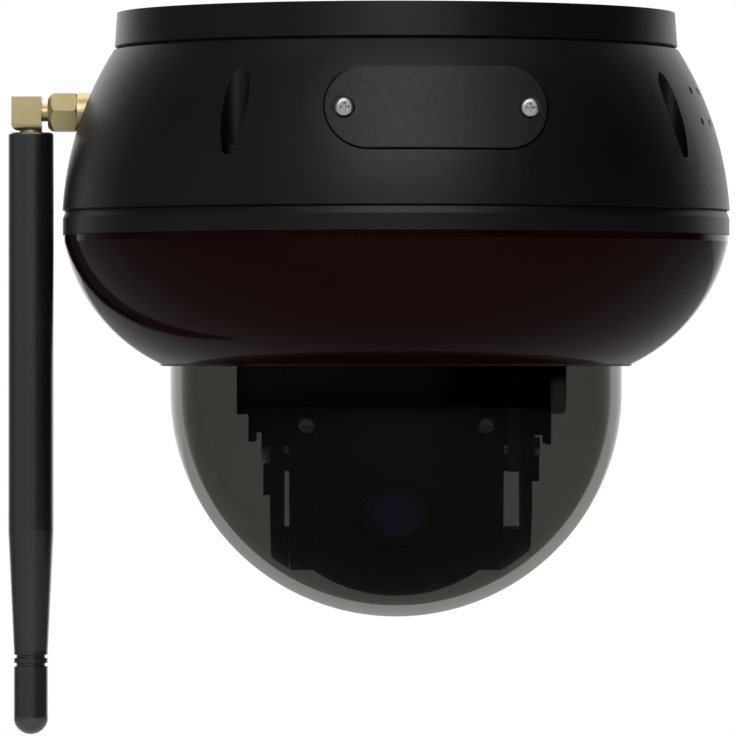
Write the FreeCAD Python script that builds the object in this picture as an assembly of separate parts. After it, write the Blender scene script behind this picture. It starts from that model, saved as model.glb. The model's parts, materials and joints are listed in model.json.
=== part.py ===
import FreeCAD, Part
import math
import os

# Ceiling-hung security camera: a pan and tilt head in a smoked dome, with a swivelling whip antenna.
# Millimetres, +Z up. The origin is the centre of the face that meets the ceiling, and all else is below it.
# The front is -Y. An azimuth is measured in degrees from the front towards +X, so the antenna is at -90.

Vec = FreeCAD.Vector
ORIGIN = Vec(0, 0, 0)
X_AXIS = Vec(1, 0, 0)
Y_AXIS = Vec(0, 1, 0)
Z_AXIS = Vec(0, 0, 1)

# Cutters that reach right through any piece, and through the front half only
THROUGH = (-200.0, 200.0)
THROUGH_FRONT = (-200.0, -20.0)
OVERLAP = 0.5

# Screws: radius of the head and of the shank
HOUSING_SCREW = (2.6, 1.5)
CHASSIS_SCREW = (2.2, 1.2)
BOARD_SCREW = (2.0, 1.0)
RING_SCREW = (1.6, 0.9)
LAMP_SCREW = (1.8, 1.0)
COVER_SCREW = (1.95, 0.9)
YOKE_SCREW = (2.2, 1.2)
SHELL_SCREW = (1.9, 1.0)

# Outer shell, from the ceiling down
BODY_R = 72.5
BASE_TOP_R = 60.7
BASE_R = 61.2
BASE_H = 7.6
BASE_RIM = 3.5
BASE_WEB = 3.0
BASE_BEVEL = 0.4
BASE_RIB_HALF = 1.0
COLLAR_WALL = 2.0
SHELL_TOP_Z = -8.1
SHELL_ARC_R = 74.0
SHELL_ARC_AT = (-1.3, -47.3)
SHELL_WALL = 2.5
SHELL_EDGE_Z = -42.8
SHELL_BOTTOM_Z = -44.3
SHELL_BEVEL = (0.5, 0.3)
SHELL_TONGUE_R = 71.0
TRIM_TOP_Z = -44.7
TRIM_BOTTOM_Z = -48.4
TRIM_LEDGE_TOP = (71.95, -43.25)
WINDOW_ARC_R = 38.6
WINDOW_ARC_AT = (34.8, -41.5)
WINDOW_WALL = 2.5
WINDOW_BOTTOM_Z = -76.2
WINDOW_LIP_TOP_Z = -73.6
WINDOW_LIP_R = 49.7

# Dome
DOME_R = 49.3
DOME_WALL = 2.4
DOME_Z = -81.9
DOME_INNER_R = DOME_R - DOME_WALL
DOME_FLANGE_R = 51.4
DOME_FLANGE_TOP_Z = -70.8
DOME_FLANGE_BOTTOM_Z = -72.8
RING_TOP_Z = -68.8
RING_R = 55.2
RING_SCREW_R = 53.6
RING_BOSS_R = 1.9
RING_PILOT_Z = -73.4
BEAD_DROP = 0.5

# Ceiling fixing
CEILING_PCD = 84.0
CEILING_HOLE_R = 2.25
CEILING_BOSS_R = 7.0
CEILING_HEAD_R = 4.6
CEILING_HEAD_DEPTH = 3.2
CABLE_HOLE_R = 12.0
STUD_RING_R = 34.0
STUD_R = 2.0
STUD_HEAD_R = 3.9
STUD_HEAD_H = 2.35
KEYHOLE_TRAVEL = 9.0
KEYHOLE_PLAY = 0.15
KEYHOLE_ENTRY_PLAY = 0.4
LUG_X = (-4.0, 4.0)
LUG_Y = (52.6, 56.4)
LUG_TOP_Z = -2.0
LUG_SLOT_R = (51.8, 56.8)
LUG_SLOT_X = (-6.0, 16.0)
LOCK_SCREW_R = 1.45
LOCK_SCREW_Z = -3.9
LOCK_SCREW_END_Y = 60.6
LOCK_SOCKET_FLATS = 1.5
LOCK_SOCKET_Y = 59.0
GLAND_R = 6.0
GLAND_BORE_R = 3.2
GLAND_FLATS = 15.0
GLAND_NECK_Z = (-16.0, -3.5)
GLAND_FLANGE_H = 2.4
GLAND_NUT_H = 2.6

# Side pockets with the long screws that hold the housing to the trim ring
POCKET_AZIMUTHS = (-30, 60, 150, 240)
POCKET_RING_R = 67.6
POCKET_R = 2.9
POCKET_MOUTH_R = 68.4
POCKET_FLOOR_Z = -32.2
POCKET_SCREW_HOLE_R = 1.7
POCKET_SCREW_LENGTH = 15.4
POCKET_PILOT_Z = -47.8
COLUMN_R = 5.0
COLUMN_LIMIT_R = 69.3

# Card bay and its cover, built facing the front and then turned to their azimuth
BAY_AZIMUTH = 7.3
BAY_Z = -22.6
BAY_HALF = (16.2, 5.7)
BAY_BLOCK_Y = -58.0
BAY_FLOOR_Y = -54.0
BAY_FLOOR_T = 1.5
COVER_HALF = (23.6, 8.7)
COVER_R = 68.3
COVER_SLOPE = 0.218
COVER_T = 1.6
COVER_GAP = 0.25
COVER_SCREW_X = 19.6
COVER_SEAT_Y = -64.9
GASKET_DEPTH = 0.8
GASKET_WIDTH = 1.2
BUTTON_X = 10.0
BUTTON_R = 1.85
BUTTON_FACE_Y = -55.2
BUTTON_FLANGE_R = 2.5
BUTTON_FLANGE_Y = (-52.3, -51.5)
BUTTON_STEM_R = 0.8
BUTTON_STEM_END_Y = -49.2
SWITCH_Y = (-50.0, -46.0)
SWITCH_H = 4.0
SOCKET_X = (-13.0, 1.0)
SOCKET_Y = (-53.8, -39.0)
SOCKET_H = 2.0
CARD_X = (-11.7, -0.3)
CARD_Z = (0.5, 1.5)
COVER_BOSS_R = 2.6
COVER_FILLET = 0.35
COVER_CLEAR_R = 1.15
COVER_WELL_R = 2.25

# Antenna
ANTENNA_Z = -21.5
SMA_FACE_X = -66.4
SMA_FLANGE_X = -69.3
SMA_FLANGE_R = 4.3
SMA_BARREL_R = 3.15
SMA_BARREL_X = -73.9
NUT_FLATS = 8.0
NUT_TURN = 3.6
NUT_X = (-75.7, -69.4)
NECK_R = 1.95
ELBOW_X = (-83.6, -77.1)
ELBOW_Z = (-25.4, -18.1)
ELBOW_HALF_Y = 3.3
ELBOW_FILLET = 1.3
SLEEVE_X = -79.5
SLEEVE_R = 5.0
SLEEVE_TOP_Z = -25.9
TAPER_Z = (-112.3, -138.5)
TIP_R = 3.75
TIP_Z = -156.8
TIP_GROOVES_Z = (-139.4, -141.2)
TIP_GROOVE_DEPTH = 0.55
SPIGOT_R = 2.5
SPIGOT_BOTTOM_Z = -34.0
NUT_BEVEL = 0.5

# Inner structure
CHASSIS_Z = (-46.7, -44.7)
CHASSIS_R = 65.6
CHASSIS_SCREW_R = 61.5
BOARD_Z = (-26.2, -24.6)
BOARD_R = 50.0
LED_BOARD_Z = (-56.6, -55.0)
LED_RING_R = 56.5
LED_COUNT = 12
LED_R = 2.5
LED_POST_R = 52.5
SHROUD_R = (47.0, 48.5)
LED_BOARD_R = (49.5, 62.5)
POST_R = 2.5
PILOT_R = 1.0
VENT_R = (38.0, 44.0)
VENT_AZIMUTHS = (20, 200)
BOARD_FRONT_Y = -50.5
HEATSINK_X = (-28.0, -2.0)
HEATSINK_Y = (2.0, 26.0)
HEATSINK_BASE_T = 2.0
HEATSINK_H = 8.0
FIN_HALF_T = 0.6
FIN_PITCH = 4

# Pan drive
PAN_MODULE = 0.8
PAN_TEETH = 72
PAN_PINION_TEETH = 14
PAN_GEAR_Z = (-53.0, -49.0)
PAN_CENTRES = PAN_MODULE * (PAN_TEETH + PAN_PINION_TEETH) / 2 + 0.05
PAN_MOTOR_AZIMUTH = 135.0
PAN_MOTOR_R = 12.0
PAN_MOTOR_H = 14.0
PAN_MOTOR_EAR = (18.0, 3.2)
PAN_MOTOR_EAR_X = 14.8
PAN_SHAFT_R = 1.5
PAN_SHAFT_HOLE_R = 3.5
HUB_FLANGE_R = 14.0
HUB_BORE_R = 5.0
HUB_SHOULDER_R = 9.3
HUB_END_Z = -56.5
HUB_NUT_R = 10.4
RACE_LIP = 0.9
BEARING_Z = (-54.0, -49.0)
BEARING_R = (8.0, 10.0, 11.6, 13.2, 15.4)
BALL_R = 1.2
TURNTABLE_Z = (-56.0, -53.0)
WIRE_HOLE_R = 12.6
TURNTABLE_R = 38.0
PAN_GEAR_BORE_R = 24.0
YOKE_SCREW_RING_R = 31.0

# Yoke and tilt drive
TILT_Z = -94.7
REST_TILT = 28.0
TILT_DOWN = 62.0
TILT_TRAVEL = 90.0
ARM_R = 26.6
YOKE_TOP_Z = (-59.0, -56.0)
LEFT_ARM_X = (-27.1, -24.5)
RIGHT_ARM_X = (27.2, 29.1)
YOKE_LIMIT_R = 45.4
YOKE_LIP_DROP = 17.2
YOKE_LIP_R = 17.4
REAR_PLATE_Y = (27.6, 29.6)
REAR_PLATE_BOTTOM_Z = -99.9
REAR_WINDOW_HALF_X = 18.5
REAR_WINDOW_TOP_Z = -89.0
LEFT_RIB = [(-27.1, -57), (-34.4, -57), (-34.4, -87.1), (-31.9, -87.1), (-31.9, -93.0), (-30.5, -93.0),
            (-30.5, -91.0), (-29.1, -91.0), (-29.1, -94.1), (-27.1, -94.1)]
RIGHT_RIB = [(29.1, -57), (33.4, -57), (33.4, -93.6), (32.2, -93.6), (32.2, -91.6), (29.7, -91.6),
             (29.7, -95.8), (30.8, -95.8), (30.8, -101.5), (29.1, -101.5)]
LEFT_TAB = [(-27.1, -97.8), (-28.7, -97.8), (-28.7, -104.5), (-27.1, -104.5)]
RIB_Y = ((-15, -9.5), (9.5, 15))
TILT_MODULE = 0.5
TILT_TEETH = 46
TILT_PINION_TEETH = 14
TILT_CENTRES = TILT_MODULE * (TILT_TEETH + TILT_PINION_TEETH) / 2 + 0.04
TILT_GEAR_X = (24.3, 26.7)
SHAFT_R = 2.5
BUSH_R = 4.0
BUSH_FLANGE_R = 5.0
TILT_MOTOR_R = 7.5
TILT_MOTOR_END_X = 37.0
TILT_MOTOR_SHAFT_R = 0.8
TILT_BACKLASH = 0.08
SECTOR_MARGIN = 14.0
FIT = 0.05

# Where the inner parts are fixed
CHASSIS_AZIMUTHS = (15, 105, 195, 285)
BOARD_AZIMUTHS = (35, 95, 200, 325)
BOARD_POST_R = 45.0
LED_POST_AZIMUTHS = (0, 90, 180, 270)

# Loudspeaker holes in the right-hand side
SPEAKER_ROWS_Z = (-17.4, -24.1)
SPEAKER_AZIMUTHS = [72.7 + 6.3 * i for i in range(6)]
SPEAKER_HOLE_R = 0.85
SPEAKER_Z = -21.5
SPEAKER_HALF = (18.0, 8.0)
SPEAKER_Y = (-57.5, -52.0)
SPEAKER_CONE_HALF = (15.5, 6.0)
SPEAKER_CONE_Y = -55.5
SPEAKER_MAGNET_R = 6.0
SPEAKER_MAGNET_Y = -51.2

# Camera head
BALL_HEAD_R = 32.0
BALL_HALF_X = 17.7
DRUM_R = 26.4
DRUM_HALF_X = 23.0
HEAD_WALL = 2.0
SHELL_SCREW_AT = (19.2, 16.7)
BARREL_R = 7.2
BARREL_BORE_R = 6.0
BARREL_Y = (-30.4, -12.0)
BARREL_STOP_T = 1.2
LENS_STOP_R = 3.6
REAR_STOP_R = 4.2
LENS_FRONT_Y = -31.4
LENS_BACK_Y = -27.0
LENS_FACE_R = 11.0
LENS_HOLLOW_R = 6.2
LENS_CENTRE_T = 1.4
MOUTH_R = (7.6, 9.6)
MOUTH_Y = -28.5
MOUTH_DEPTH = 4.0
SHELL_SCREW_SEAT_Y = -19.4
SHELL_BOSS_R = 2.4
SENSOR_FACE_Y = -7.4
SENSOR_BOARD_Y = (-6.2, -4.8)
FILTER_FRAME_HALF = (11.0, 8.0)
FILTER_FRAME_Y = (-11.8, -8.2)
FILTER_CHANNEL_HALF = (9.6, 4.6)
FILTER_CHANNEL_Y = (-10.9, -9.1)


def arc_point(centre, radius, z):
    """The (r, z) point at height z on the outer side of an arc in the r-z plane."""
    return centre[0] + math.sqrt(radius ** 2 - (z - centre[1]) ** 2), z


def at(azimuth, radius, z):
    angle = math.radians(azimuth)
    return Vec(radius * math.sin(angle), -radius * math.cos(angle), z)


def turned(shape, azimuth):
    return shape.rotated(ORIGIN, Z_AXIS, azimuth)


def tilted(shape):
    """Turns a piece of the camera head, built with its lens level, down about the tilt axis."""
    return shape.rotated(Vec(0, 0, TILT_Z), X_AXIS, REST_TILT)


def block(x, y, z):
    return Part.makeBox(x[1] - x[0], y[1] - y[0], z[1] - z[0], Vec(x[0], y[0], z[0]))


def rod(radius, z, centre=(0, 0)):
    return Part.makeCylinder(radius, z[1] - z[0], Vec(centre[0], centre[1], z[0]))


def rod_x(radius, x, z):
    return Part.makeCylinder(radius, x[1] - x[0], Vec(x[0], 0, z), X_AXIS)


def rod_y(radius, y, x, z):
    return Part.makeCylinder(radius, y[1] - y[0], Vec(x, y[0], z), Y_AXIS)


def tube(outer, inner, z):
    return rod(outer, z).cut(rod(inner, z))


def ball(radius, centre):
    return Part.makeSphere(radius, centre)


def joined(shapes):
    """One solid from shapes that touch or overlap."""
    shapes = list(shapes)
    return shapes[0].multiFuse(shapes[1:]).removeSplitter() if len(shapes) > 1 else shapes[0]


def line_rz(start, end):
    return Part.LineSegment(Vec(start[0], 0, start[1]), Vec(end[0], 0, end[1])).toShape()


def arc_rz(start, end, centre, radius):
    """The short arc from start to end about centre, in the r-z plane."""
    middle = Vec(start[0] + end[0] - 2 * centre[0], 0, start[1] + end[1] - 2 * centre[1]).normalize() * radius
    through = Vec(centre[0], 0, centre[1]) + middle
    return Part.Arc(Vec(start[0], 0, start[1]), through, Vec(end[0], 0, end[1])).toShape()


def arc_to(point, centre, radius):
    """A corner of a lathe outline that is reached along an arc."""
    return point[0], point[1], centre, radius


def lathe(outline):
    """Turns a closed outline of (r, z) corners about Z."""
    edges = []
    for start, end in zip(outline, outline[1:] + outline[:1]):
        edges.append(arc_rz(start, end, *end[2:]) if len(end) > 2 else line_rz(start, end))
    return Part.Face(Part.Wire(edges)).revolve(ORIGIN, Z_AXIS, 360)


def stadium(half, y, z=BAY_Z):
    """A prism along Y with round ends: half is its half length and half height."""
    straight = half[0] - half[1]
    ends = [rod_y(half[1], y, side * straight, z) for side in (-1, 1)]
    middle = block((-straight, straight), y, (z - half[1], z + half[1]))
    return joined([middle] + ends)


def ring_of(shape, azimuths):
    """Copies of a shape built at the front, one at each azimuth, as separate solids."""
    return Part.makeCompound([turned(shape, azimuth) for azimuth in azimuths])


def even(count, start=0.0):
    return [start + 360.0 * i / count for i in range(count)]


def pan_screw(head_r, shank_r, top, length, radius):
    """A pan-head cross-recess screw, head up, whose head rests at height top, at the front at a radius."""
    head_h = 0.75 * head_r
    head = rod(head_r, (top, top + head_h), (0, -radius))
    top_edges = [e for e in head.Edges if abs(e.BoundBox.ZMin - top - head_h) < 1e-6]
    head = head.makeFillet(0.45 * head_h, top_edges)
    shank = rod(shank_r, (top - length, top), (0, -radius))
    screw = joined([head, shank])
    for turn in (0, 90):
        slot_z = (top + 0.4 * head_h, top + 9)
        slot = block((-0.16 * head_r, 0.16 * head_r), (-0.55 * head_r, 0.55 * head_r), slot_z)
        slot = slot.rotated(ORIGIN, Z_AXIS, turn)
        screw = screw.cut(slot.translated(Vec(0, -radius, 0)))
    return screw


def hexagon(flats, length):
    """A hexagonal prism along +Z from the origin, with two of its corners on the Y axis."""
    corner = flats / math.sqrt(3)
    points = [Vec(corner * math.sin(math.radians(60 * i)), corner * math.cos(math.radians(60 * i)), 0)
              for i in range(6)]
    return Part.Face(Part.makePolygon(points + points[:1])).extrude(Vec(0, 0, length))


def gear_blank(module, teeth, width, backlash=0.10):
    """A spur gear about Z from z = 0, one tooth centred on +X: 25 degree involute teeth, slightly thin."""
    pressure = math.radians(25)
    pitch_r = module * teeth / 2
    base_r = pitch_r * math.cos(pressure)
    root_r = pitch_r - 1.15 * module
    tip_r = pitch_r + 0.9 * module
    involute = math.tan(pressure) - pressure
    half_tooth = math.pi / 2 / teeth - backlash / 2 / pitch_r + involute

    def flank_angle(radius):
        roll = math.acos(base_r / radius) if radius > base_r else 0.0
        return half_tooth - (math.tan(roll) - roll)

    start_r = max(base_r, root_r)
    flank = [start_r + (tip_r - start_r) * i / 5 for i in range(6)]
    rising = [(radius, -flank_angle(radius)) for radius in flank]
    falling = [(radius, flank_angle(radius)) for radius in reversed(flank)]
    root = [(root_r, -flank_angle(start_r))] if start_r > root_r + 1e-6 else []
    root_end = [(root_r, flank_angle(start_r))] if root else []
    outline = []
    for tooth in range(teeth):
        centre = 2 * math.pi * tooth / teeth
        for radius, angle in root + rising + falling + root_end:
            outline.append(Vec(radius * math.cos(centre + angle), radius * math.sin(centre + angle), 0))
    return Part.Face(Part.makePolygon(outline + outline[:1])).extrude(Vec(0, 0, width))


# ---------------------------------------------------------------- ceiling base

def mount_base():
    web_z = (-BASE_H, -BASE_H + BASE_WEB)
    bevel_z = -BASE_H + BASE_BEVEL
    bevel = Part.makeCone(BASE_R - BASE_BEVEL, BASE_R, BASE_BEVEL, Vec(0, 0, -BASE_H))
    plate = joined([bevel, Part.makeCone(BASE_R, BASE_TOP_R, -bevel_z, Vec(0, 0, bevel_z))])
    plate = plate.cut(rod(BASE_TOP_R - BASE_RIM, (web_z[1], THROUGH[1])))
    boss = rod(CEILING_BOSS_R, (web_z[1] - OVERLAP, 0), (0, -CEILING_PCD / 2))
    collar = tube(CABLE_HOLE_R + COLLAR_WALL, CABLE_HOLE_R, (web_z[1] - OVERLAP, 0))
    rib_y = (-BASE_TOP_R + BASE_RIM / 2, -CABLE_HOLE_R - COLLAR_WALL / 2)
    rib = block((-BASE_RIB_HALF, BASE_RIB_HALF), rib_y, (web_z[1] - OVERLAP, -1.0))
    plate = joined([plate, collar] + [turned(piece, a) for piece in (rib, boss) for a in even(4, 45)])
    plate = plate.cut(rod(CABLE_HOLE_R, THROUGH))
    hole = rod(CEILING_HOLE_R, THROUGH, (0, -CEILING_PCD / 2))
    sink = rod(CEILING_HEAD_R, (THROUGH[0], -BASE_H + CEILING_HEAD_DEPTH), (0, -CEILING_PCD / 2))
    for azimuth in even(4, 45):
        plate = plate.cut(turned(hole, azimuth)).cut(turned(sink, azimuth))
    for azimuth in even(3):
        plate = plate.cut(turned(stud_keyhole(), azimuth))
    slot = tube(LUG_SLOT_R[1], LUG_SLOT_R[0], THROUGH).common(block(LUG_SLOT_X, (0, THROUGH[1]), THROUGH))
    return plate.cut(slot).cut(rod_y(LOCK_SCREW_R + FIT, (LUG_SLOT_R[0], THROUGH[1]), 0, LOCK_SCREW_Z))


def stud_keyhole():
    """Where one hanging stud's head goes in and turns under the web."""
    z = (-BASE_H - 1, -BASE_H + BASE_WEB + 0.2)
    half = STUD_R + KEYHOLE_PLAY
    entry = rod(STUD_HEAD_R + KEYHOLE_ENTRY_PLAY, z, (KEYHOLE_TRAVEL, -STUD_RING_R))
    end = rod(half, z, (0, -STUD_RING_R))
    slot = block((0, KEYHOLE_TRAVEL), (-STUD_RING_R - half, -STUD_RING_R + half), z)
    return joined([entry, slot, end])


def hang_studs():
    web_top = -BASE_H + BASE_WEB
    head = rod(STUD_HEAD_R, (web_top + FIT, web_top + FIT + STUD_HEAD_H), (0, -STUD_RING_R))
    shank = rod(STUD_R, (SHELL_TOP_Z - SHELL_WALL, web_top + 0.1), (0, -STUD_RING_R))
    return ring_of(joined([head, shank]), even(3))


def lock_screw():
    """A set screw in the back of the base's rim, whose tip bears on the housing's lug."""
    body = rod_y(LOCK_SCREW_R, (LUG_Y[1], LOCK_SCREW_END_Y), 0, LOCK_SCREW_Z)
    socket = hexagon(LOCK_SOCKET_FLATS, 2.0).rotated(ORIGIN, X_AXIS, -90)
    return body.cut(socket.translated(Vec(0, LOCK_SOCKET_Y, LOCK_SCREW_Z)))


def base_gasket():
    return tube(BASE_R - 0.8, 55.5, (SHELL_TOP_Z, -BASE_H)).cut(block((-7, 17), (45, 58.5), (-9, -7)))


def cable_gland():
    """A hollow gland through the top of the housing, with a hexagon flange above and a clamping nut below."""
    flange = hexagon(GLAND_FLATS, GLAND_FLANGE_H).translated(Vec(0, 0, SHELL_TOP_Z))
    neck = rod(GLAND_R, GLAND_NECK_Z)
    nut = hexagon(GLAND_FLATS, GLAND_NUT_H).translated(Vec(0, 0, SHELL_TOP_Z - SHELL_WALL - GLAND_NUT_H))
    dome_nut = Part.makeCone(GLAND_R - 0.4, GLAND_R - 1.6, 2.0, Vec(0, 0, GLAND_NECK_Z[1]))
    return joined([flange, neck, nut, dome_nut]).cut(rod(GLAND_BORE_R, THROUGH))


# ---------------------------------------------------------------- housing

def shell_side(inset, top, bottom):
    """The curved side of the housing, as two corners of an outline."""
    radius = SHELL_ARC_R - inset
    lower = arc_to(arc_point(SHELL_ARC_AT, radius, bottom), SHELL_ARC_AT, radius)
    return [arc_point(SHELL_ARC_AT, radius, top), lower]


def shell_solid():
    return lathe([(0, SHELL_TOP_Z)] + shell_side(0.0, SHELL_TOP_Z, SHELL_EDGE_Z)
                 + [(BODY_R - SHELL_BEVEL[0], SHELL_EDGE_Z - SHELL_BEVEL[1]),
                    (SHELL_TONGUE_R, SHELL_EDGE_Z - SHELL_BEVEL[1]), (SHELL_TONGUE_R, SHELL_BOTTOM_Z),
                    (0, SHELL_BOTTOM_Z)])


def shell_cavity():
    top = SHELL_TOP_Z - SHELL_WALL
    return lathe([(0, top)] + shell_side(SHELL_WALL, top, SHELL_BOTTOM_Z) + [(0, SHELL_BOTTOM_Z)])


def cover_cone(inset):
    """The cone that the cover's face lies on, shrunk by inset."""
    z = (-40.0, -5.0)
    radii = [COVER_R + COVER_SLOPE * (BAY_Z - height) - inset for height in z]
    return Part.makeCone(radii[0], radii[1], z[1] - z[0], Vec(0, 0, z[0]))


def at_cover_screws(shape):
    """Copies of a shape built along +Z from a screw's seat at the origin, one at each cover screw."""
    stood = shape.rotated(ORIGIN, X_AXIS, 90)
    return [stood.translated(Vec(side * COVER_SCREW_X, COVER_SEAT_Y, BAY_Z)) for side in (-1, 1)]


def gasket_ring():
    outer = (BAY_HALF[0] + GASKET_WIDTH, BAY_HALF[1] + GASKET_WIDTH)
    ring = stadium(outer, (-80, -50)).cut(stadium(BAY_HALF, (-81, -49)))
    return ring.common(cover_cone(COVER_T)).cut(cover_cone(COVER_T + GASKET_DEPTH))


def bay_cut():
    """Everything that the card bay takes out of the housing, built facing the front."""
    seat = (COVER_HALF[0] + COVER_GAP, COVER_HALF[1] + COVER_GAP)
    recess = stadium(seat, (-80, -50)).cut(cover_cone(COVER_T))
    outer = (BAY_HALF[0] + GASKET_WIDTH, BAY_HALF[1] + GASKET_WIDTH)
    groove = stadium(outer, (-80, -50)).cut(cover_cone(COVER_T + GASKET_DEPTH))
    tunnel = stadium(BAY_HALF, (-80, -40))
    return joined([recess, groove, tunnel] + at_cover_screws(rod(COVER_SCREW[1], (-5.5, 1.0))))


def pocket_cut():
    """One side pocket, a slot that opens outwards, with the hole for its screw."""
    z = (POCKET_FLOOR_Z, 0)
    ends = [rod(POCKET_R, z, (0, -radius)) for radius in (POCKET_RING_R, POCKET_MOUTH_R)]
    middle = block((-POCKET_R, POCKET_R), (-POCKET_MOUTH_R, -POCKET_RING_R), z)
    hole = rod(POCKET_SCREW_HOLE_R, (THROUGH[0], POCKET_FLOOR_Z + 1), (0, -POCKET_RING_R))
    return joined(ends + [middle, hole])


def upper_housing():
    outer = shell_solid()
    shell = outer.cut(shell_cavity())
    column = rod(COLUMN_R, (TRIM_TOP_Z, SHELL_TOP_Z - 1), (0, -POCKET_RING_R))
    column = column.common(rod(COLUMN_LIMIT_R, (TRIM_TOP_Z, 0)))
    within = joined([outer, rod(COLUMN_LIMIT_R, (TRIM_TOP_Z, SHELL_BOTTOM_Z))])
    bay_block = stadium((27.5, 11.5), (-80, BAY_BLOCK_Y))
    sma_boss = rod_x(7.0, (-72, -62.5), ANTENNA_Z)
    extras = [turned(column, a) for a in POCKET_AZIMUTHS] + [turned(bay_block, BAY_AZIMUTH), sma_boss]
    shell = joined([shell] + [extra.common(within) for extra in extras])
    lug = block(LUG_X, LUG_Y, (SHELL_TOP_Z - OVERLAP, LUG_TOP_Z))
    shell = joined([shell, lug])
    for azimuth in POCKET_AZIMUTHS:
        shell = shell.cut(turned(pocket_cut(), azimuth))
    shell = shell.cut(turned(bay_cut(), BAY_AZIMUTH))
    shell = shell.cut(rod_x(SMA_FLANGE_R + 0.6, (THROUGH[0], SMA_FACE_X), ANTENNA_Z))
    shell = shell.cut(rod_x(SMA_BARREL_R, THROUGH_FRONT, ANTENNA_Z))
    for z in SPEAKER_ROWS_Z:
        for azimuth in SPEAKER_AZIMUTHS:
            shell = shell.cut(turned(rod_y(SPEAKER_HOLE_R, THROUGH_FRONT, 0, z), azimuth))
    for azimuth in even(3):
        shell = shell.cut(turned(rod(STUD_R, THROUGH, (0, -STUD_RING_R)), azimuth))
    return shell.cut(rod(GLAND_R, THROUGH))


def housing_screws():
    screw = pan_screw(*HOUSING_SCREW, POCKET_FLOOR_Z, POCKET_SCREW_LENGTH, POCKET_RING_R)
    return ring_of(screw, POCKET_AZIMUTHS)


def housing_seal():
    return tube(SHELL_TONGUE_R - 0.1, COLUMN_LIMIT_R + 0.1, (TRIM_TOP_Z, SHELL_BOTTOM_Z))


def trim_ring():
    lip_r = SHELL_TONGUE_R + 0.1
    ring = lathe([(BODY_R, TRIM_TOP_Z), TRIM_LEDGE_TOP, (lip_r, TRIM_LEDGE_TOP[1]), (lip_r, TRIM_TOP_Z),
                  (CHASSIS_R + 0.2, TRIM_TOP_Z),
                  (CHASSIS_R + 0.2, CHASSIS_Z[0]), (57.5, CHASSIS_Z[0]), (57.5, TRIM_BOTTOM_Z),
                  (BODY_R - 0.15, TRIM_BOTTOM_Z), (BODY_R, TRIM_BOTTOM_Z + 0.15)])
    pilot = rod(HOUSING_SCREW[1], (POCKET_PILOT_Z, THROUGH[1]), (0, -POCKET_RING_R))
    for azimuth in POCKET_AZIMUTHS:
        ring = ring.cut(turned(pilot, azimuth))
    for azimuth in CHASSIS_AZIMUTHS:
        ring = ring.cut(turned(rod(CHASSIS_SCREW[1], THROUGH, (0, -CHASSIS_SCREW_R)), azimuth))
    return ring


def window_solid():
    straight_z = WINDOW_ARC_AT[1] - math.sqrt(WINDOW_ARC_R ** 2 - (BODY_R - WINDOW_ARC_AT[0]) ** 2)
    bottom = arc_point(WINDOW_ARC_AT, WINDOW_ARC_R, WINDOW_BOTTOM_Z)
    bead_z = WINDOW_BOTTOM_Z - BEAD_DROP
    return lathe([(0, TRIM_BOTTOM_Z), (BODY_R, TRIM_BOTTOM_Z), (BODY_R, straight_z),
                  arc_to(bottom, WINDOW_ARC_AT, WINDOW_ARC_R),
                  (bottom[0] - BEAD_DROP, bead_z), (0, bead_z)])


def window_cavity():
    radius = WINDOW_ARC_R - WINDOW_WALL
    flange = (67.0, TRIM_BOTTOM_Z - 2.0)
    upper = arc_point(WINDOW_ARC_AT, radius, flange[1])
    lower = arc_point(WINDOW_ARC_AT, radius, WINDOW_LIP_TOP_Z)
    return lathe([(0, TRIM_BOTTOM_Z + 1), (flange[0], TRIM_BOTTOM_Z + 1), flange, upper,
                  arc_to(lower, WINDOW_ARC_AT, radius), (0, WINDOW_LIP_TOP_Z)])


def ir_window():
    """The dark band round the dome, which the infrared lamps shine through."""
    outer = window_solid()
    window = outer.cut(window_cavity()).cut(rod(WINDOW_LIP_R, (-80, -60)))
    clear_of_dome = rod(RING_SCREW_R + 5, (-80, DOME_FLANGE_TOP_Z)).cut(rod(DOME_FLANGE_R, (-90, -60)))
    boss = rod(RING_BOSS_R, (-75.5, DOME_FLANGE_TOP_Z), (0, -RING_SCREW_R))
    boss = boss.common(outer).common(clear_of_dome)
    window = joined([window] + [turned(boss, azimuth) for azimuth in even(6)])
    for azimuth in even(6):
        window = window.cut(turned(rod(RING_SCREW[1], (RING_PILOT_Z, -60), (0, -RING_SCREW_R)), azimuth))
    return window


# ---------------------------------------------------------------- dome

def dome_gasket():
    return tube(DOME_FLANGE_R - 0.4, WINDOW_LIP_R + 0.1, (WINDOW_LIP_TOP_Z, DOME_FLANGE_BOTTOM_Z))


def dome_bubble():
    centre = (0, DOME_Z)
    return lathe([(DOME_INNER_R, DOME_FLANGE_TOP_Z), (DOME_FLANGE_R, DOME_FLANGE_TOP_Z),
                  (DOME_FLANGE_R, DOME_FLANGE_BOTTOM_Z), (DOME_R, DOME_FLANGE_BOTTOM_Z), (DOME_R, DOME_Z),
                  arc_to((0, DOME_Z - DOME_R), centre, DOME_R), (0, DOME_Z - DOME_INNER_R),
                  arc_to((DOME_INNER_R, DOME_Z), centre, DOME_INNER_R)])


def dome_retaining_ring():
    ring = tube(RING_R, DOME_INNER_R, (DOME_FLANGE_TOP_Z, RING_TOP_Z))
    for azimuth in even(6):
        ring = ring.cut(turned(rod(RING_SCREW[1] + 0.1, THROUGH, (0, -RING_SCREW_R)), azimuth))
    return ring


def light_shroud():
    """Keeps the lamps' light out of the dome."""
    return tube(SHROUD_R[1], SHROUD_R[0], (RING_TOP_Z, CHASSIS_Z[0]))


# ---------------------------------------------------------------- chassis and electronics

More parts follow.
